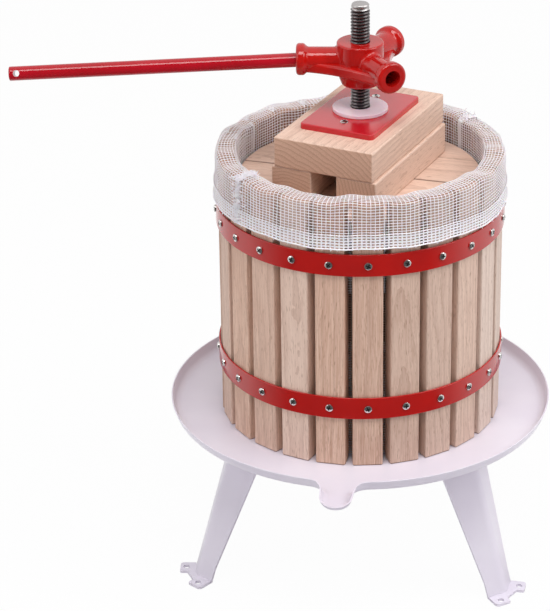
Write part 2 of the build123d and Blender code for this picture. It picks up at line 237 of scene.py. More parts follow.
@dataclass(frozen=True)
class Coating(Finish):
    """Paint, plastic or another even coat, with a skin that is not quite flat."""

    peel: float
    peel_strength: float
    drift: float = 45 * MM
    ior: float = 1.5
    transmission: float = 0.0
    subsurface: float = 0.0
    sheen: float = 0.0
    coat: float = 0.0

    def material(self) -> Material:
        """Make the node material of this coat."""
        graph = Graph(bpy.data.materials.new(self.name))
        place = graph.add("TexCoord").outputs["Object"]
        peel = graph.add("TexNoise", {"Vector": place, "Scale": 1.0 / self.peel, "Detail": 2.0})
        bump = graph.add(
            "Bump", {"Height": peel, "Strength": self.peel_strength, "Distance": self.peel * 0.12}
        )
        shader = graph.add(
            "BsdfPrincipled",
            {
                **self.drifting(graph, place, self.drift, 3.0),
                "Normal": bump,
                "IOR": self.ior,
                "Transmission Weight": self.transmission,
                "Subsurface Weight": self.subsurface,
                "Subsurface Scale": 2 * MM,
                "Sheen Weight": self.sheen,
                "Sheen Roughness": 0.5,
                "Coat Weight": self.coat,
                "Coat Roughness": 0.12,
            },
        )
        graph.add("OutputMaterial", {"Surface": shader})
        return graph.owner


@dataclass(frozen=True)
class Metal(Finish):
    """Bare or plated steel with a brushed, slightly cloudy face."""

    cloud: float = 3 * MM

    def material(self) -> Material:
        """Make the node material of this metal."""
        graph = Graph(bpy.data.materials.new(self.name))
        place = graph.add("TexCoord").outputs["Object"]
        shader = graph.add(
            "BsdfPrincipled", {**self.drifting(graph, place, self.cloud, 4.0), "Metallic": 1.0}
        )
        graph.add("OutputMaterial", {"Surface": shader})
        return graph.owner


@dataclass(frozen=True)
class ThreadSteel:
    """Blackened, oiled rolled thread: dark roots, rubbed crests with painted highlight, bare turned
    tip.
    """

    root: float
    crest: float
    tip: float
    name: str = "oiled_thread_steel"
    oiled: str = "#2E2A2C"
    rubbed_and_lit: str = "#A9A3A3"
    turned: str = "#B4B0AF"
    cloud: float = 2.5 * MM
    tip_edge: float = 0.4 * MM

    def material(self) -> Material:
        """Make the node material of the thread."""
        graph = Graph(bpy.data.materials.new(self.name))
        place = graph.add("TexCoord").outputs["Object"]
        level = graph.add("VectorMath", {0: place, 1: (1.0, 1.0, 0.0)}, operation="MULTIPLY")
        radius = graph.add("VectorMath", {0: level}, operation="LENGTH").outputs["Value"]
        # Crests lighter than roots by radius: partly rubbed wear, partly painted highlight
        depth = {"From Min": self.root, "From Max": self.crest}
        crest_light = graph.add("MapRange", {"Value": radius, **depth})
        cloud = graph.add("TexNoise", {"Vector": place, "Scale": 1.0 / self.cloud, "Detail": 3.0})
        wear_and_light = graph.add("Math", {0: crest_light, 1: cloud}, operation="MULTIPLY")
        height = graph.add("SeparateXYZ", {0: place}).outputs["Z"]
        start = self.tip - self.tip_edge
        bare = graph.add("MapRange", {"Value": height, "From Min": start, "From Max": self.tip})
        colours = {0: wear_and_light, 6: linear(self.oiled), 7: linear(self.rubbed_and_lit)}
        tint = graph.add("Mix", colours, data_type="RGBA").outputs[2]
        turned = graph.add("Mix", {0: bare, 6: tint, 7: linear(self.turned)}, data_type="RGBA")
        gloss = graph.add("MapRange", {"Value": wear_and_light, "To Min": 0.42, "To Max": 0.26})
        shader = graph.add(
            "BsdfPrincipled", {"Base Color": turned.outputs[2], "Roughness": gloss, "Metallic": 1.0}
        )
        graph.add("OutputMaterial", {"Surface": shader})
        return graph.owner


@dataclass(frozen=True)
class Layer:
    """One colour over a board's own: how much of it shows, its hex code and how it lies there."""

    share: Node | float
    colour: str
    blend: Blend = Blend.COVER


@dataclass(frozen=True)
class Beech:
    """Steamed beech, planed and left bare.

    It is pale pinkish tan, with thin rings, fine streaks and short dark flecks. Each pattern's two
    sizes are those across and along the grain. The pith is so many millimetres aside and below. A
    joint is so far across the grain and so dark, and each band of painted shade has an unshaded
    level, a fully shaded level and how much it covers there.
    """

    name: str
    centre: Vector
    grain: Vector
    face: Vector
    seed: int
    tone: float = 1.0
    paleness: float = 0.0
    pith: Pair | None = None
    joints: tuple[Pair, ...] = ()
    ring: float = 4.0 * MM
    contrast: float = 0.6
    inner_shade: float = 0.0
    shade_bands: tuple[Triple, ...] = ()
    sway: Pair = (29.412 * MM, 200 * MM)
    sway_depth: float = 9 * MM
    fibre: Pair = (1.0 * MM, 48 * MM)
    fleck: Pair = (0.8 * MM, 9 * MM)
    patch: Pair = (55.556 * MM, 333.33 * MM)
    joint_width: Pair = (0.7 * MM, 2.0 * MM)

    def trunk(self) -> tuple[Vector, list[float]]:
        """Find the tree that the board was cut from.

        Returns:
            A point on its pith, and the turn that lays the pattern's Z along the grain.
        """
        chance = Random(self.seed)
        along = self.grain.normalized()
        out = self.face.normalized()
        across = out.cross(along)
        aside, below = self.pith or (chance.uniform(-22, 22), chance.uniform(38, 75))
        spot = self.centre - out * below * MM + across * aside * MM
        turn = Matrix((across, out, along)).transposed().to_euler()
        return spot, [angle + chance.uniform(-0.02, 0.02) for angle in turn]

    def drawn_out(self, graph: Graph, place: Node, size: Pair, **noise: float) -> Node:
        """Lay a random pattern that is drawn out along the grain.

        Args:
            graph: Node tree of the board.
            place: Point in the tree, its Z along the grain.
            size: The pattern's size across and along the grain.
            noise: Further values of the noise.

        Returns:
            The noise node.
        """
        across, along = size
        scale = (1.0 / across, 1.0 / across, 1.0 / along)
        stretch = graph.add("VectorMath", {0: place, 1: scale}, operation="MULTIPLY")
        return graph.add("TexNoise", {"Vector": stretch, "Scale": 1.0, **noise})

    def figure(self, graph: Graph, normal: NodeSocket, trunk: Node, bent: Node) -> list[Layer]:
        """Draw the patches, the rings and the flecks.

        Args:
            graph: Node tree of the board.
            normal: Which way the surface looks.
            trunk: Point in the tree.
            bent: The same point, pushed aside by the slow waves.

        Returns:
            Their colours, the lowest first.
        """
        rings = graph.add(
            "TexWave",
            {"Vector": bent, "Scale": WAVE_REPEAT / self.ring, "Distortion": 1.0, "Detail": 2.0},
            wave_type="RINGS",
            rings_direction="Z",
            wave_profile="SAW",
        )
        thin = graph.add("Math", {0: rings, 1: 3.0}, operation="POWER")
        specks = self.drawn_out(graph, bent, self.fleck, Detail=1.0)
        flecks = graph.add(
            "MapRange", {"Value": specks, "From Min": 0.6, "From Max": 0.74, "To Max": 0.55}
        )
        # Cut across the grain, the wood drinks light and its rings stand out
        facing_end = graph.add(
            "VectorMath", {0: normal, 1: self.grain.normalized()}, operation="DOT_PRODUCT"
        ).outputs["Value"]
        square = graph.add("Math", {0: facing_end, 1: facing_end}, operation="MULTIPLY")
        end = graph.add("MapRange", {"Value": square, "From Min": 0.55, "From Max": 0.9})
        ring_share = graph.add("MapRange", {"Value": end, "To Min": 0.32, "To Max": 0.6})
        late = graph.add("Math", {0: thin, 1: ring_share}, operation="MULTIPLY")
        return [
            Layer(self.drawn_out(graph, trunk, self.patch, Detail=2.0), "#DDB49F"),
            # Paleness of the whole board; on the right-hand staves it is partly painted light
            Layer(self.paleness, "#F0DCCF"),
            Layer(end, "#EBDCD2", Blend.DARKEN),
            Layer(late, "#A67B67"),
            Layer(flecks, "#986E54"),
        ]

    def shade_and_joints(self, graph: Graph, coordinates: Node) -> list[Layer]:
        """Draw the painted shade on the inner side and in bands, and the joints' dirt and shadow.

        Args:
            graph: Node tree of the board.
            coordinates: Its texture coordinates.

        Returns:
            Their colours, the lowest first.
        """
        place = coordinates.outputs["Object"]
        layers = []
        if self.inner_shade:
            # Painted shade darkens the inner side, which faces the fruit
            turned_in = graph.add(
                "VectorMath",
                {0: coordinates.outputs["Normal"], 1: -self.face.normalized()},
                operation="DOT_PRODUCT",
            ).outputs["Value"]
            reach = {"From Min": 0.6, "From Max": 0.9, "To Max": self.inner_shade}
            layers.append(Layer(graph.add("MapRange", {"Value": turned_in, **reach}), "#7C4836"))
        for lit_level, shade_level, most in self.shade_bands:
            # Painted shade fades in between two levels
            height = graph.add("SeparateXYZ", {0: place}).outputs["Z"]
            reach = {"From Min": lit_level, "From Max": shade_level, "To Max": most}
            layers.append(Layer(graph.add("MapRange", {"Value": height, **reach}), "#74452F"))
        for level, dark in self.joints:
            # Dirt and shadow in the joint beside this board
            across = graph.add(
                "VectorMath", {0: place, 1: UP.cross(self.grain)}, operation="DOT_PRODUCT"
            ).outputs["Value"]
            gap = graph.add("Math", {0: across, 1: level}, operation="SUBTRACT")
            near = graph.add("Math", {0: gap}, operation="ABSOLUTE")
            edge, end = self.joint_width
            reach = {"From Min": edge, "From Max": end, "To Min": dark, "To Max": 0.0}
            layers.append(Layer(graph.add("MapRange", {"Value": near, **reach}), "#6B4B3C"))
        return layers

    def material(self) -> Material:
        """Make the node material of one board.

        Returns:
            Material whose rings, fibres and flecks run through the board as through solid wood.
        """
        spot, turn = self.trunk()
        graph = Graph(bpy.data.materials.new(self.name))
        coordinates = graph.add("TexCoord")
        trunk = graph.add(
            "Mapping",
            {"Vector": coordinates.outputs["Object"], "Location": spot, "Rotation": turn},
            vector_type="TEXTURE",
        )
        # Slow waves bend the rings, so that no line runs ruler-straight
        sway = self.drawn_out(graph, trunk, self.sway, Detail=2.0).outputs[1]
        depth = (self.sway_depth, self.sway_depth, 0.0)
        centred = graph.add("VectorMath", {0: sway, 1: (0.5, 0.5, 0.5)}, operation="SUBTRACT")
        pushed = graph.add("VectorMath", {0: centred, 1: depth}, operation="MULTIPLY")
        bent = graph.add("VectorMath", {0: trunk, 1: pushed}, operation="ADD")
        # Fibres are drawn coarser than real ones, so that they show at this distance
        fibres = self.drawn_out(graph, bent, self.fibre, Detail=4.0, Roughness=0.62)
        shares = {"To Min": 0.5 - self.contrast / 2, "To Max": 0.5 + self.contrast / 2}
        streaks = graph.add(
            "MapRange", {"Value": fibres, "From Min": 0.39, "From Max": 0.61, **shares}
        )
        early, late = linear("#F5D9C4", self.tone), linear("#C2977D", self.tone)
        tint = graph.add("Mix", {0: streaks, 6: early, 7: late}, data_type="RGBA")
        layers = self.figure(graph, coordinates.outputs["Normal"], trunk, bent)
        for layer in layers + self.shade_and_joints(graph, coordinates):
            colour = linear(layer.colour, self.tone if layer.blend is Blend.COVER else 1.0)
            tint = graph.add(
                "Mix",
                {0: layer.share, 6: tint.outputs[2], 7: colour},
                data_type="RGBA",
                blend_type=layer.blend.value,
            )
        bump = graph.add("Bump", {"Height": fibres, "Strength": 0.18, "Distance": 0.12 * MM})
        gloss = graph.add("MapRange", {"Value": fibres, "To Min": 0.48, "To Max": 0.66})
        shader = graph.add(
            "BsdfPrincipled",
            {"Base Color": tint.outputs[2], "Roughness": gloss, "Normal": bump, "IOR": 1.45},
        )
        graph.add("OutputMaterial", {"Surface": shader})
        return graph.owner


# Baked polyester powder on steel: lilac white, half gloss, with the faint dimples of sprayed powder
POWDER_COAT = Coating(
    "white_powder_coat", "#EAE4EF", "#E4DDEA", (0.30, 0.38), 1.8 * MM, 0.10, 70 * MM
)
# Sprayed gloss enamel on rolled strip: deep red that turns pink where it mirrors the white room
HOOP_ENAMEL = Coating(
    "red_gloss_enamel", "#BA110B", "#AE0C08", (0.08, 0.13), 2.6 * MM, 0.05, ior=1.62
)
# A cooler red on the bar, with one hard line of light along it
LEVER_ENAMEL = Coating("crimson_gloss_enamel", "#B60F22", "#AA0B1A", (0.08, 0.13), 2.6 * MM, 0.03)
# The same enamel on flat plate, a little duller
PLATE_ENAMEL = Coating(
    "red_satin_enamel", "#C81222", "#BC0D1B", (0.2, 0.27), 2.2 * MM, 0.06, coat=0.35
)
# Thick enamel on grey iron: the sand mould's lumps show through the gloss
CAST_ENAMEL = Coating(
    "red_enamel_on_iron", "#BE1611", "#AA100D", (0.08, 0.14), 4.5 * MM, 0.22, 20 * MM
)
# Natural polyamide sheet: milky and a little clear, so the red below tints it
NYLON = Coating(
    "natural_nylon", "#F8E2EC", "#F1D9E4", (0.3, 0.4), 2.0 * MM, 0.05,
    ior=1.53, transmission=0.03, subsurface=0.2,
)
# Twisted white polyester yarn: matt, soft at the edges and brightest where it is doubled
NET_YARN = Coating(
    "white_net_yarn", "#FAF6FA", "#F0EBF1", (0.55, 0.7), 0.7 * MM, 0.3, 12 * MM,
    subsurface=0.1, sheen=0.6,
)
# The same yarn, dull and brownish: painted shade behind the staves, so that their gaps stay dark
SHADED_YARN = Coating(
    "shade_darkened_yarn", "#CDAF9C", "#B99883", (0.6, 0.75), 0.7 * MM, 0.3, 12 * MM
)
# Zinc plate on bolts and nuts: cool grey, cloudy and half bright
ZINC = Metal("zinc_plated_steel", "#C9CBCE", "#AEB1B6", (0.28, 0.4))
# Nickel plate on screws: hard bright heads with dark mirrored edges
NICKEL = Metal("nickel_plated_screw", "#E4E2E0", "#D0CDCA", (0.12, 0.2), 1.5 * MM)
# Painted shade in a screw's recess: dull greenish black that makes the cross read as a hole
RECESS_SHADE = Coating("painted_recess_shade", "#2F3431", "#232825", (0.5, 0.7), 0.8 * MM, 0.2, 2 * MM)


def dress(node: str, material: Material) -> Object:
    """Give a CAD node its material.

    Args:
        node: Name of the node.
        material: What all its faces take.

    Returns:
        The node's object.
    """
    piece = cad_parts[node]
    if not piece.material_slots:
        piece.data.materials.append(material)
    for slot in piece.material_slots:
        slot.material = material
    return piece


def turn_round(bm: BMesh, angle: float, steps: int, **more: Any) -> None:
    """Spin all that a mesh holds about the press's axis.

    Args:
        bm: Mesh of a line or a ring.
        angle: How far it goes round, in degrees.
        steps: Copies on the way.
        more: Further settings of the spin.
    """
    bmesh.ops.spin(
        bm,
        geom=bm.verts[:] + bm.edges[:],
        cent=(0.0, 0.0, 0.0),
        axis=UP,
        angle=radians(angle),
        steps=steps,
        **more,
    )


def fixed_mesh(name: str, bm: BMesh) -> Mesh:
    """Return a new mesh with what a bmesh holds, and free the bmesh."""
    mesh = bpy.data.meshes.new(name)
    bm.to_mesh(mesh)
    bm.free()
    return mesh


def show(name: str, data: ID) -> Object:
    """Return a new object in the scene for a mesh, lamp or camera."""
    shown = bpy.data.objects.new(name, data)
    bpy.context.scene.collection.objects.link(shown)
    return shown


def finish_piece(
    name: str,
    bm: BMesh,
    materials: Sequence[Material],
    body: Body,
    slot: Slot,
    stands_for: Sequence[str] = (),
    sharp: float = 40.0,
) -> Object:
    """Turn a bmesh into a piece that rides on a body.

    Args:
        name: Name of the piece.
        bm: Its mesh, which is freed.
        materials: Its finishes, in the order of its faces' material numbers.
        body: The body that carries it.
        slot: The record's material slot, not used.
        stands_for: CAD nodes that it replaces.
        sharp: Angle in degrees past which an edge stays sharp.

    Returns:
        The new object.
    """
    mesh = fixed_mesh(name, bm)
    for material in materials:
        mesh.materials.append(material)
    mesh.shade_smooth()
    mesh.set_sharp_from_angle(angle=radians(sharp))
    piece = show(name, mesh)
    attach(piece, body.value)
    if stands_for:
        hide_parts(*stands_for)
    return piece


def facing(origin: Vector, out: Vector, turn: float = 0.0) -> Matrix:
    """Return the placement that points a screw's or a yarn's axis outwards.

    Args:
        origin: Where it sits.
        out: Direction away from the surface.
        turn: How far it is turned about its own axis, in radians.

    Returns:
        Matrix from its own frame.
    """
    aimed = out.to_track_quat("Z", "Y").to_matrix().to_4x4()
    return Matrix.Translation(origin) @ aimed @ Matrix.Rotation(turn, 4, "Z")


@dataclass
class Stand:
    """Spouted tray on three bent legs, with the bolts and the clamp that hold it together."""

    painted: tuple[str, ...] = ("tray", "leg_left", "leg_right", "leg_back", "stiffener_plate")
    plated: tuple[str, ...] = ("leg_bolts", "leg_nuts", "clamp_washers", "clamp_nuts")

    def build(self) -> list[Object]:
        """Dress the stand's CAD nodes and return them."""
        paint = POWDER_COAT.material()
        zinc = ZINC.material()
        pieces = [dress(node, paint) for node in self.painted]
        return pieces + [dress(node, zinc) for node in self.plated]


@dataclass
class Spindle:
    """Threaded rod through the whole press.

    The flanks say where a crest ends and where the root begins and ends, in shares of the pitch.
    """

    pitch: float = 3.5 * MM
    crest: float = 9.95 * MM
    root: float = 8.75 * MM
    flanks: Triple = (0.16, 0.46, 0.7)
    spare_turns: float = 1.5
    tip_radius: float = 9.35 * MM
    tip_length: float = 5.0 * MM
    chamfer: float = 1.2 * MM
    segments: int = 40
    weld: float = 0.02 * MM

    def build(self) -> list[Object]:
        """Screw one turn's profile round, stack it up the rod and cut it to length.

        Returns:
            The threaded rod.
        """
        foot, top = (corner[2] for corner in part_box("spindle"))
        bm = bmesh.new()
        radii = (self.crest, self.crest, self.root, self.root, self.crest)
        corners = [
            bm.verts.new((radius, 0.0, foot + self.pitch * (share - self.spare_turns)))
            for radius, share in zip(radii, (0.0, *self.flanks, 1.0))
        ]
        for ends in zip(corners, corners[1:]):
            bm.edges.new(ends)
        turn_round(bm, FULL_TURN, self.segments, dvec=UP * self.pitch / self.segments)
        turn = fixed_mesh("one_turn", bm)
        bm = bmesh.new()
        for _ in range(int((top - foot) / self.pitch + 2 * self.spare_turns)):
            bm.from_mesh(turn)
            turn.transform(Matrix.Translation(UP * self.pitch))
        bpy.data.meshes.remove(turn)
        bmesh.ops.remove_doubles(bm, verts=bm.verts[:], dist=self.weld)
        for height, way in ((foot, -UP), (top, UP)):
            cut = bmesh.ops.bisect_plane(
                bm,
                geom=bm.verts[:] + bm.edges[:] + bm.faces[:],
                plane_co=UP * height,
                plane_no=way,
                clear_outer=True,
            )
            ring = [part for part in cut["geom_cut"] if isinstance(part, BMEdge)]
            bmesh.ops.contextual_create(bm, geom=ring)
        for vert in bm.verts:
            below = top - vert.co.z
            room = self.tip_radius - self.chamfer + min(vert.co.z - foot, below)
            if below < self.tip_length:
                room = min(room, self.tip_radius)
            reach = hypot(vert.co.x, vert.co.y)
            if reach > room:
                vert.co.x *= room / reach
                vert.co.y *= room / reach
        bmesh.ops.recalc_face_normals(bm, faces=bm.faces[:])
        steel = ThreadSteel(self.root, self.crest, top - self.tip_length).material()
        rod = finish_piece("threaded_rod", bm, [steel], Body.STAND, Slot.SPINDLE, ["spindle"], 50.0)
        return [rod]


@dataclass(frozen=True)
class CrossHeadScrew:
    """Pan head with a cross recess, its underside at z 0 and its axis up.

    The shoulder is a share of the radius, and the crown's fall a share of the height.
    """

    radius: float
    height: float
    arm_length: float = 2.6 * MM
    arm_width: float = 1.5 * MM
    recess: float = 1.3 * MM
    recess_wall: float = 0.22 * MM
    shoulder: float = 0.68
    crown_fall: float = 0.42
    edge: float = 0.5 * MM

    def head(self) -> Mesh:
        """Shape one head from a small grid.

        Returns:
            A mesh to copy to every screw.
        """
        bm = bmesh.new()
        bmesh.ops.create_grid(bm, x_segments=5, y_segments=5, size=1.0)
        # The grid's lines stand 1, 3 and 5 fifths from its middle
        lines = {1: self.arm_width / 2, 3: self.arm_length, 5: self.radius}
        for vert in bm.verts:
            steps = [round(value * 5) for value in vert.co.xy]
            spot = Vector([lines[abs(step)] * (1 if step > 0 else -1) for step in steps])
            if max(abs(step) for step in steps) == 5:
                spot = spot.normalized() * self.radius
            elif abs(steps[0]) == abs(steps[1]) == 3:
                spot = spot.normalized() * self.shoulder * self.radius
            crown = 1.0 - self.crown_fall * (spot.length / self.radius) ** 2
            vert.co = (spot.x, spot.y, self.height * crown)
        cross = []
        for face in bm.faces:
            near, far = sorted(abs(value) for value in face.calc_center_median().xy)
            if near < self.arm_width / 2 and far < self.arm_length:
                cross.append(face)
        walls = bmesh.ops.inset_region(
            bm, faces=cross, thickness=self.recess_wall, depth=-self.recess, use_even_offset=True
        )
        # The cross and its walls take the second finish, painted shade
        for face in (*cross, *walls["faces"]):
            face.material_index = 1
        border = [edge for edge in bm.edges if edge.is_boundary]
        skirt = bmesh.ops.extrude_edge_only(bm, edges=border)
        for vert in (part for part in skirt["geom"] if isinstance(part, BMVert)):
            vert.co.z = 0.0
        bmesh.ops.bevel(
            bm, geom=border, offset=self.edge, segments=2, profile=0.5, affect="EDGES", material=-1
        )
        bmesh.ops.recalc_face_normals(bm, faces=bm.faces[:])
        return fixed_mesh("screw_head", bm)

    def drive(
        self, name: str, places: list[Matrix], plating_and_shade: list[Material], body: Body, node: str
    ) -> Object:
        """Set one head at each place.

        Args:
            name: Name of the piece.
            places: Where the heads' undersides sit.
            plating_and_shade: Finish of the heads, and painted shade for their recesses.
            body: The body that carries them.
            node: CAD node of the plain heads, which they replace.

        Returns:
            One piece of all the heads.
        """
        head = self.head()
        bm = bmesh.new()
        for place in places:
            before = len(bm.verts)
            bm.from_mesh(head)
            bm.verts.ensure_lookup_table()
            bmesh.ops.transform(bm, matrix=place, verts=bm.verts[before:])
        bpy.data.meshes.remove(head)
        return finish_piece(name, bm, plating_and_shade, body, Slot.SCREWS, [node], sharp=30.0)


@dataclass
class Basket:
    """Twenty-four staves, two hoops and their screws."""

    staves: int = 24
    first_angle: float = -80.8
    middle: float = 140.0 * MM
    hoop_radius: float = 152.0 * MM
    bands: tuple[str, str] = ("lower_band", "upper_band")
    screw: CrossHeadScrew = CrossHeadScrew(4.1 * MM, 2.4 * MM)
    seed: int = 7
    first_tree: int = 100
    # Painted shadow along each stave's foot, and painted shade on the wood behind the net above the
    # hem
    foot_shadow: Triple = (1.5 * MM, 0.6 * MM, 0.8)
    shade_behind_net: Triple = (425 * MM, 433 * MM, 0.2)

    def stave(self, number: int, out: Vector, chance: Random) -> Object:
        """Dress one stave with a board of its own.

        Args:
            number: Its number, from 0.
            out: Direction from the axis to it.
            chance: Source of its tone, paleness and growth.

        Returns:
            The node's object.
        """
        node = f"stave_{number + 1:02d}"
        foot, top = (corner[2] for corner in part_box(node))
        lit_level, shade_level, most = self.foot_shadow
        # Each board's paleness is partly its own, at random, and partly painted light on the
        # right-hand side
        tone = chance.uniform(0.85, 1.03)
        paleness = 0.5 * chance.random() ** 2 + 0.55 * max(0.0, out.x) ** 2
        ring = chance.uniform(2.0, 4.6) * MM
        centre = out * self.middle + UP * (foot + top) / 2
        # Painted shadow at the foot and painted shade on the wood behind the net
        shade_bands = ((foot + lit_level, foot + shade_level, most), self.shade_behind_net)
        # Painted shade darkens each stave's inner side
        wood = Beech(
            f"beech_{node}", centre, UP, out, self.first_tree + number, tone, paleness,
            ring=ring, contrast=0.85, inner_shade=0.8, shade_bands=shade_bands,
        )
        return dress(node, wood.material())

    def build(self) -> list[Object]:
        """Dress the staves and hoops and set the screws.

        Returns:
            The basket's pieces.
        """
        enamel = HOOP_ENAMEL.material()
        # Nickel for the heads, painted shade for their recesses
        plating_and_shade = [NICKEL.material(), RECESS_SHADE.material()]
        chance = Random(self.seed)
        step = FULL_TURN / self.staves
        ways = [outward(self.first_angle + step * number) for number in range(self.staves)]
        pieces = [dress(band, enamel) for band in self.bands]
        pieces += [self.stave(number, out, chance) for number, out in enumerate(ways)]
        for band in self.bands:
            low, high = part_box(band)
            middle = UP * (low[2] + high[2]) / 2
            places = [
                facing(out * self.hoop_radius + middle, out, chance.uniform(0.0, pi))
                for out in ways
            ]
            screws = f"{band}_screws"
            heads = self.screw.drive(f"{band}_screw_heads", places, plating_and_shade, Body.STAND, screws)
            pieces.append(heads)
        return pieces


@dataclass(frozen=True)
class Weave:
    """Net of four-sided cells, so many columns in its sweep, which starts and runs in degrees."""

    columns: int = 212
    row: float = 2.86 * MM
    yarn: float = 0.66 * MM
    start: float = 0.0
    sweep: float = FULL_TURN


@dataclass
class PressBag:
    """Net bag that lines the basket and folds out over its rim, sewn from two panels.

    Radii, levels and what the folds move are in millimetres, angles in degrees. A pair of levels
    or radii says where a fold begins and where it is full.
    """

    collar: Outline = (
        (152.0, 440.0),
        (151.5, 452.0),
        (151.1, 463.0),
        (150.6, 470.6),
        (148.2, 472.7),
        (140.0, 473.1),
        (133.4, 472.9),
    )
    lining: Outline = ((133.4, 472.9), (130.7, 472.0), (130.3, 463.0), (130.3, 366.0))
    wall: Outline = ((130.3, 366.0), (130.3, 273.5), (130.3, 181.5))
    base: Outline = ((130.3, 181.5), (24.5, 181.5))
    hem: Outline = ((153.0, 425.5), (152.6, 440.8))
    pleat: Outline = ((134.6, 473.6), (130.2, 471.4), (129.3, 463.0), (129.3, 430.0))
    depth: float = 0.5 * MM
    collar_weave: Weave = Weave()
    lining_weave: Weave = Weave(yarn=0.52 * MM)
    # Lower down the uprights stand behind the staves, so that only the rows cross the gaps
    wall_weave: Weave = Weave(192, yarn=0.5 * MM, start=-72.36)
    base_weave: Weave = Weave(100, 5.6 * MM, 2.0 * MM)
    hem_weave: Weave = Weave(yarn=1.5 * MM)
    pleat_angle: float = 157.5
    pleat_weave: Weave = Weave(10, 3.3 * MM, 0.75 * MM, pleat_angle, 22.0)
    pleat_edge: Weave = Weave(2, 1.6 * MM, start=pleat_angle - 0.5, sweep=1.3)
    seam_angle: float = 221.0
    seam_row: float = 2.3 * MM
    seam_proud: float = 0.6
    felled_depth: float = 0.7
    # Radius, level and half thickness of the hem's two rolled edges
    top_roll: Triple = (152.8, 440.6, 0.6)
    bottom_roll: Triple = (153.2, 425.6, 0.8)
    stitch: float = 0.25
    # Loose yarn ends: how many, how thick, how long, how widely spread and where they grow
    front_fluff: int = 430
    back_fluff: int = 150
    fluff_yarn: float = 0.55
    fluff_length: Pair = (1.6, 4.2)
    fluff_spread: float = 1.6
    fluff_proud: Pair = (0.9, 0.4)
    fluff_radii: Pair = (138.0, 150.0)
    tuft_ends: int = 110
    tuft_length: Pair = (2.0, 4.6)
    tuft_spread: Pair = (2.4, 3.2)
    tuft_root: Pair = (137.0, 473.0)
    fringe_ends: int = 170
    fringe_yarn: float = 0.42
    fringe_length: Pair = (1.4, 3.0)
    fringe_root: Pair = (152.9, 426.0)
    # Where the outside, the rim, the hanging hem and the inside of the rim lie
    skirt_radii: Pair = (138.0, 150.5)
    rim_levels: Pair = (446.0, 471.5)
    hang_levels: Pair = (470.0, 436.0)
    inside_levels: Pair = (446.0, 467.0)
    rim_lift: float = 1.45
    rim_waves: Waves = ((0.8, 8, 0.6), (0.7, 13, 2.1), (0.8, 24, 0.9))
    hem_waves: Waves = ((0.8, 5, 0.4), (0.6, 9, 2.0), (0.3, 29, 0.0))
    skirt_waves: Waves = ((0.3, 6, 1.0), (0.2, 11, 0.2))
    fold_waves: Waves = ((0.5, 17, 1.4),)
    inside_waves: Waves = ((0.5, 9, 1.7),)
    # What the last three kinds of wave swing about
    swing: float = 0.5
    # How far the hem is pulled down, and where most, in radians
    hem_pull: float = 2.4
    pull_turn: float = 0.2
    # The puffed spot beside the pleat
    puff_aside: float = 16.5
    puff_width: float = 7.0
    puff_rise: float = 3.4
    puff_inward: float = 3.0
    puff_levels: Pair = (471.8, 473.2)

    def settle(self, point: Vector) -> Vector:
        """Return where a point of the bag comes to lie among its folds.

        Args:
            point: Point on the bag as if it were turned on a lathe.

        Returns:
            The point, moved in or out and up or down by a few millimetres.
        """
        turn = atan2(point.y, point.x)
        radius = hypot(point.x, point.y)
        height = point.z / MM
        skirt = ease(radius / MM, *self.skirt_radii)
        rim = ease(height, *self.rim_levels)
        hang = skirt * ease(height, *self.hang_levels)
        away = (turn - radians(self.pleat_angle + self.puff_aside) + pi) % (2.0 * pi) - pi
        puff = rim * exp(-((away / radians(self.puff_width)) ** 2))
        rise = rim * (self.rim_lift + ripple(turn, self.rim_waves)) + self.puff_rise * puff
        rise += hang * ripple(turn, self.hem_waves)
        # The right-hand side was pulled further down, to the hoop
        rise -= hang * self.hem_pull * max(0.0, cos(turn - self.pull_turn))
        out = hang * (self.swing + ripple(turn, self.skirt_waves))
        out += skirt * rim * (self.swing + ripple(turn, self.fold_waves))
        inside = (1.0 - skirt) * ease(height, *self.inside_levels)
        out -= inside * (self.swing + ripple(turn, self.inside_waves))
        out -= (1.0 - skirt) * self.puff_inward * puff * ease(height, *self.puff_levels)
        reach = radius + out * MM
        return Vector((reach * cos(turn), reach * sin(turn), point.z + rise * MM))

    def net(
        self, name: str, line: Sequence[Pair], material: Material, weave: Weave,
        stands_for: Sequence[str] = (),
    ) -> Object:
        """Make one piece of net: cells on a lathe, opened until only their yarns are left.

        Args:
            name: Name of the piece.
            line: Radius and height of its corners, in millimetres.
            material: Its yarn.
            weave: Its cells.
            stands_for: CAD nodes that it replaces.

        Returns:
            The new piece, settled into its folds.
        """
        bm = bmesh.new()
        aim = outward(weave.start)
        spots = [aim * radius * MM + UP * height * MM for radius, height in line]
        whole = line_length(spots)
        rows = max(1, round(whole / weave.row))
        knots = [bm.verts.new(along_line(spots, whole * row / rows)) for row in range(rows + 1)]
        for ends in zip(knots, knots[1:]):
            bm.edges.new(ends)
        turn_round(bm, weave.sweep, weave.columns, use_merge=weave.sweep == FULL_TURN)
        for vert in bm.verts:
            vert.co = self.settle(vert.co)
        bmesh.ops.recalc_face_normals(bm, faces=bm.faces[:])
        cells = bm.faces[:]
        bmesh.ops.inset_individual(bm, faces=cells, thickness=weave.yarn / 2, use_even_offset=True)
        bmesh.ops.delete(bm, geom=cells, context="FACES_ONLY")
        bmesh.ops.solidify(bm, geom=bm.faces[:], thickness=self.depth)
        return finish_piece(name, bm, [material], Body.STAND, Slot.NET, stands_for, sharp=60.0)

    def strip(self, angle: float, columns: int, wide: float, yarn: float) -> Weave:
        """Return the weave of a strip so many net cells wide, centred on a seam."""
        sweep = wide * FULL_TURN / self.collar_weave.columns
        return Weave(columns, self.seam_row, yarn, angle - sweep / 2, sweep)

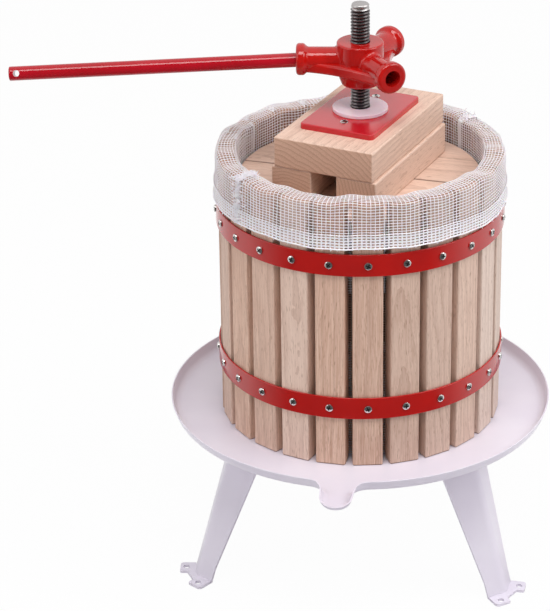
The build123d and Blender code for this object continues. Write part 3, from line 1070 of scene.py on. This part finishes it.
    def border(self, name: str, roll: Triple, yarn: Material) -> Object:
        """Make a rolled and stitched edge of the hem.

        Args:
            name: Name of the piece.
            roll: Radius, level and half thickness of the roll, in millimetres.
            yarn: Yarn of the bag.

        Returns:
            The new piece.
        """
        radius, height, thick = roll
        columns = self.collar_weave.columns
        bm = bmesh.new()
        ring = bmesh.ops.create_circle(bm, segments=6, radius=thick * MM)
        upright = Matrix.Rotation(pi / 2, 4, "X")
        place = Matrix.Translation((radius * MM, 0.0, height * MM)) @ upright
        bmesh.ops.transform(bm, matrix=place, verts=ring["verts"])
        turn_round(bm, FULL_TURN, columns * 2, use_merge=True)
        for vert in bm.verts:
            wave = self.stitch * sin(columns * atan2(vert.co.y, vert.co.x))
            vert.co = self.settle(vert.co) + UP * wave * MM
        bmesh.ops.recalc_face_normals(bm, faces=bm.faces[:])
        return finish_piece(name, bm, [yarn], Body.STAND, Slot.NET, sharp=60.0)

    def yarn_ends(self, name: str, ends: Ends, thick: float, yarn: Material) -> Object:
        """Make a crowd of loose yarn ends.

        Args:
            name: Name of the piece.
            ends: Root of each end, and how far and which way it reaches.
            thick: Its half thickness at the root, in millimetres.
            yarn: Yarn of the bag.

        Returns:
            The new piece.
        """
        bm = bmesh.new()
        for root, reach in ends:
            sizes = dict(radius1=thick * MM, radius2=thick * MM / 2, depth=reach.length)
            made = bmesh.ops.create_cone(bm, cap_ends=True, segments=4, **sizes)
            bmesh.ops.transform(bm, matrix=facing(root + reach / 2, reach), verts=made["verts"])
        return finish_piece(name, bm, [yarn], Body.STAND, Slot.NET)

    def tuft(self) -> Ends:
        """Yield the cut yarn ends that stand up where the side seam crosses the rim."""
        chance = Random(3)
        radius, height = self.tuft_root
        wide, deep = self.tuft_spread
        out = outward(self.seam_angle)
        side = UP.cross(out)
        top = self.settle(out * radius * MM + UP * height * MM)
        for _ in range(self.tuft_ends):
            root = top + (side * chance.gauss(0.0, wide) + out * chance.gauss(0.0, deep)) * MM
            lean = (chance.gauss(0.0, 0.9), chance.gauss(0.0, 0.9), chance.uniform(0.1, 1.2))
            yield root, Vector(lean).normalized() * chance.uniform(*self.tuft_length) * MM

    def fringe(self) -> Ends:
        """Yield the short yarn ends that stick out below the hem."""
        chance = Random(5)
        radius, height = self.fringe_root
        for _ in range(self.fringe_ends):
            out = outward(chance.uniform(0.0, FULL_TURN))
            root = self.settle(out * radius * MM + UP * height * MM)
            lean = out * chance.uniform(0.0, 0.5)
            lean += Vector((chance.gauss(0.0, 0.3), chance.gauss(0.0, 0.3), -1.0))
            yield root, lean.normalized() * chance.uniform(*self.fringe_length) * MM

    def fluff(self, angle: float, count: int) -> Ends:
        """Yield the yarn ends that lie along a seam.

        Args:
            angle: Plan angle of the seam, in degrees.
            count: How many there are.

        Yields:
            Root and reach of each end.
        """
        chance = Random(count)
        line = (self.hem[0], *self.collar[1:], self.lining[1])
        spots = [Vector((radius, 0.0, height)) * MM for radius, height in line]
        whole = line_length(spots)
        proud, above = self.fluff_proud
        for _ in range(count):
            spot = along_line(spots, whole * chance.random())
            out = outward(angle + chance.gauss(0.0, self.fluff_spread))
            outside = ease(spot.x / MM, *self.fluff_radii)
            root = self.settle(out * (spot.x + proud * MM * outside) + UP * (spot.z + above * MM))
            lean = Vector([chance.gauss(0.0, 1.0) for _ in range(3)])
            lean += out * 0.5 * outside + UP * 0.3
            yield root, lean.normalized() * chance.uniform(*self.fluff_length) * MM

    def build(self) -> list[Object]:
        """Make the bag's panels, hem, seams and loose yarns.

        Returns:
            The bag's pieces.
        """
        yarn = NET_YARN.material()
        collar = self.net("bag_collar", self.collar, yarn, self.collar_weave, ["press_bag"])
        lining = self.net("bag_lining", self.lining, yarn, self.lining_weave)
        # The wall behind the staves takes the yarn painted darker with shade
        shade_yarn = SHADED_YARN.material()
        wall = self.net("bag_wall", self.wall[:2], shade_yarn, self.wall_weave)
        wall_low = self.net("bag_wall_low", self.wall[1:], shade_yarn, self.wall_weave)
        base = self.net("bag_base", self.base, yarn, self.base_weave)
        hem = self.net("bag_hem", self.hem, yarn, self.hem_weave)
        trims = [
            self.border("bag_hem_top", self.top_roll, yarn),
            self.border("bag_hem_bottom", self.bottom_roll, yarn),
        ]
        proud = self.seam_proud
        outer = [(r + proud, z + proud) for r, z in (self.hem[0], *self.collar[1:6])]
        inner = [(r - self.felled_depth, z) for r, z in self.lining]
        linings = []
        for side, angle, frayed in (
            ("front", self.seam_angle, self.front_fluff),
            ("back", self.seam_angle - FULL_TURN / 2, self.back_fluff),
        ):
            seam = f"bag_seam_{side}"
            ends = self.fluff(angle, frayed)
            trims.append(self.net(seam, outer, yarn, self.strip(angle, 2, 0.9, 1.2 * MM)))
            trims.append(self.yarn_ends(f"{seam}_fluff", ends, self.fluff_yarn, yarn))
            felled = self.strip(angle, 4, 1.6, 0.9 * MM)
            linings.append(self.net(f"{seam}_inside", inner, yarn, felled))
        linings.append(self.net("bag_pleat", self.pleat, yarn, self.pleat_weave))
        linings.append(self.net("bag_pleat_edge", self.pleat, yarn, self.pleat_edge))
        trims.append(self.yarn_ends("bag_yarn_tuft", self.tuft(), self.fluff_yarn, yarn))
        trims.append(self.yarn_ends("bag_hem_fringe", self.fringe(), self.fringe_yarn, yarn))
        return [collar, lining, wall, wall_low, base, hem, *linings, *trims]


@dataclass
class PressStack:
    """Disc, rails, block, plate and washer that slide on the spindle."""

    stack_angle: float = -18.4
    disc_angle: float = -9.5
    disc_tree: int = 200
    disc_tones: tuple[float, ...] = (0.98, 1.05, 1.0, 1.06)
    disc_joints: tuple[Pair, ...] = ((-64.0 * MM, 0.3), (0.0, 0.75), (64.0 * MM, 0.3))
    paleness: float = 0.3
    screw: CrossHeadScrew = CrossHeadScrew(4.3 * MM, 2.2 * MM)
    screw_offset: float = 39.5 * MM
    screw_turn: float = 0.6

    def board(
        self, node: str, angle: float, seed: int, tone: float,
        flat_face: bool = True, along_x: bool = False, **wood: Any,
    ) -> Object:
        """Dress one board with its own run of grain.

        Args:
            node: CAD node of the board.
            angle: Plan angle of its x, in degrees.
            seed: Choice of the tree that it was cut from.
            tone: Factor on its colour.
            flat_face: True where the rings lie flat in the board, False where they stand.
            along_x: True where the grain runs along its x, False along its y.
            wood: Further fields of its beech.

        Returns:
            The node's object.
        """
        low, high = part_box(node)
        x = outward(angle)
        y = UP.cross(x)
        grain, side = (x, y) if along_x else (y, x)
        face = UP if flat_face else side
        centre = (Vector(low) + Vector(high)) / 2
        beech = Beech(f"beech_{node}", centre, grain, face, seed, tone, self.paleness, **wood)
        return dress(node, beech.material())

    def build(self) -> list[Object]:
        """Dress the boards, the plate and the washer and set the plate's screws.

        Returns:
            The stack's pieces.
        """
        disc = dict(along_x=True, joints=self.disc_joints)
        pieces = [
            self.board(f"disc_board_{n}", self.disc_angle, self.disc_tree + n, tone, **disc)
            for n, tone in enumerate(self.disc_tones, 1)
        ]
        turn = self.stack_angle
        pieces += [
            self.board("rail_left", turn, 211, 0.98),
            self.board("rail_right", turn, 212, 1.0, flat_face=False),
            self.board("pressure_block", turn, 213, 1.04, pith=(81.0, 154.0), ring=5.2 * MM),
            dress("pressure_plate", PLATE_ENAMEL.material()),
            dress("thrust_washer", NYLON.material()),
        ]
        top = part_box("pressure_plate")[1][2]
        along = UP.cross(outward(turn))
        places = [
            facing(along * side * self.screw_offset + UP * top, UP, self.screw_turn + side)
            for side in (-1.0, 1.0)
        ]
        # Nickel for the heads, painted shade for their recesses
        plating_and_shade = [NICKEL.material(), RECESS_SHADE.material()]
        pieces.append(
            self.screw.drive("plate_screw_heads", places, plating_and_shade, Body.STACK, "plate_screws")
        )
        return pieces


@dataclass
class LeverHead:
    """Cast nut and the loose lever bar in one of its sockets."""

    def build(self) -> list[Object]:
        """Dress the nut and the lever and return them."""
        nut = dress("press_nut", CAST_ENAMEL.material())
        return [nut, dress("lever_bar", LEVER_ENAMEL.material())]


@dataclass(frozen=True)
class SoftBox:
    """Soft lamp: its plan angle from the front, its elevation, its watts, its width and height."""

    name: str
    azimuth: float
    elevation: float
    watts: float
    size: Pair


@dataclass
class Studio:
    """White sweep, soft lamps and the camera at the photograph's place."""

    azimuth: float = 6.2
    elevation: float = 24.478
    distance: float = 2.7887
    aim: float = 0.3671
    focal: float = 172.32
    shift: Pair = (-0.155, -0.1204)
    lamps: tuple[SoftBox, ...] = (
        SoftBox("top_box", 10.0, 66.0, 32.5, (1.9, 0.8)),
        SoftBox("right_box", 80.0, 42.0, 25.0, (1.4, 1.4)),
        SoftBox("left_box", -60.0, 30.0, 10.5, (1.4, 1.4)),
    )
    lamp_distance: float = 2.6
    lamp_aim: float = 0.3
    floor_reach: float = 6.0
    room: float = 0.4
    dim_front: float = 0.1
    paper_glow: float = 0.97

    def direction(self, azimuth: float, elevation: float) -> Vector:
        """Return the direction from the press to a lamp or camera, angles in degrees."""
        a, e = radians(azimuth), radians(elevation)
        return Vector((sin(a) * cos(e), -cos(a) * cos(e), sin(e)))

    def lamp(self, box: SoftBox) -> None:
        """Hang one soft box round the press."""
        data = bpy.data.lights.new(box.name, "AREA")
        data.energy = box.watts
        data.shape = "RECTANGLE"
        data.size, data.size_y = box.size
        lamp = show(box.name, data)
        out = self.direction(box.azimuth, box.elevation)
        lamp.location = out * self.lamp_distance + UP * self.lamp_aim
        lamp.rotation_euler = out.to_track_quat("Z", "Y").to_euler()

    def camera(self) -> None:
        """Set the camera where the photograph was taken from."""
        data = bpy.data.cameras.new("photo_camera")
        data.sensor_fit = "HORIZONTAL"
        data.lens = self.focal
        data.shift_x, data.shift_y = self.shift
        camera = show("photo_camera", data)
        out = self.direction(self.azimuth, self.elevation)
        camera.location = out * self.distance + UP * self.aim
        camera.rotation_euler = out.to_track_quat("Z", "Y").to_euler()
        bpy.context.scene.camera = camera

    def glow(self, graph: Graph, place: NodeSocket) -> tuple[Node, Node]:
        """Say how white the surroundings show to each kind of ray.

        Args:
            graph: Node tree of the floor or the world.
            place: Point or direction that the ray meets.

        Returns:
            Share of the rays that see it at all, and its strength: 1 to the camera and behind the
            press, and dim where a reflection looks to the front of the room.
        """
        path = graph.add("LightPath")
        glossy = path.outputs["Is Glossy Ray"]
        way = graph.add("VectorMath", {0: place}, operation="NORMALIZE")
        front = graph.add(
            "VectorMath", {0: way, 1: self.direction(self.azimuth, 0.0)}, operation="DOT_PRODUCT"
        ).outputs["Value"]
        dimming = {"From Min": 0.0, "From Max": 0.6, "To Min": 1.0, "To Max": self.dim_front}
        mirrored = graph.add("MapRange", {"Value": front, **dimming})
        strength = graph.add("MapRange", {"Value": glossy, "To Min": 1.0, "To Max": mirrored})
        straight = graph.add(
            "Math",
            {0: path.outputs["Is Camera Ray"], 1: path.outputs["Is Transmission Ray"]},
            operation="MAXIMUM",
        )
        return graph.add("Math", {0: straight, 1: glossy}, operation="MAXIMUM"), strength

    def floor(self) -> None:
        """Lay the pale floor, which shows white but keeps a soft shadow."""
        bm = bmesh.new()
        bmesh.ops.create_grid(bm, x_segments=4, y_segments=4, size=self.floor_reach)
        mesh = fixed_mesh("floor", bm)
        # Matt paper sweep: even white, with only a breath of shadow under the feet
        graph = Graph(bpy.data.materials.new("white_paper_sweep"))
        place = graph.add("TexCoord").outputs["Object"]
        seen, strength = self.glow(graph, place)
        share = graph.add("Math", {0: seen, 1: self.paper_glow}, operation="MULTIPLY")
        fibre = graph.add("TexNoise", {"Vector": place, "Scale": 1.0 / (4 * MM)})
        bump = graph.add("Bump", {"Height": fibre, "Strength": 0.05, "Distance": 0.2 * MM})
        paper = graph.add("BsdfDiffuse", {"Color": linear("#EAE9EB"), "Normal": bump})
        white = graph.add("Emission", {"Color": linear("#FFFFFF"), "Strength": strength})
        mixed = graph.add("MixShader", {0: share, 1: paper, 2: white})
        graph.add("OutputMaterial", {"Surface": mixed})
        mesh.materials.append(graph.owner)
        show("floor", mesh)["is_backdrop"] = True

    def world(self) -> None:
        """Fill the room with even light that shows white to the camera and in most reflections."""
        graph = Graph(bpy.data.worlds.new("white_room"))
        way = graph.add("TexCoord").outputs["Generated"]
        seen, strength = self.glow(graph, way)
        level = graph.add("MapRange", {"Value": seen, "To Min": self.room, "To Max": strength})
        white = graph.add("Background", {"Color": linear("#FFFFFF"), "Strength": level})
        graph.add("OutputWorld", {"Surface": white})
        bpy.context.scene.world = graph.owner

    def build(self) -> None:
        """Set up the room, the lamps and the camera."""
        self.world()
        self.floor()
        for box in self.lamps:
            self.lamp(box)
        self.camera()
        bpy.context.scene.view_settings.view_transform = "Standard"


def main() -> None:
    """Build every sub-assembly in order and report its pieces."""
    logging.basicConfig(level=logging.INFO, format="%(asctime)s %(message)s")
    for assembly in (Stand(), Spindle(), Basket(), PressBag(), PressStack(), LeverHead()):
        for piece in assembly.build():
            LOG.info("%s: %s", type(assembly).__name__, piece.name)
    Studio().build()
    boxes = {"cad": CAD_BOX, "visual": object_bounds()}
    {name: [list(corner) for corner in box] for name, box in boxes.items()}


if __name__ == "__main__":
    main()
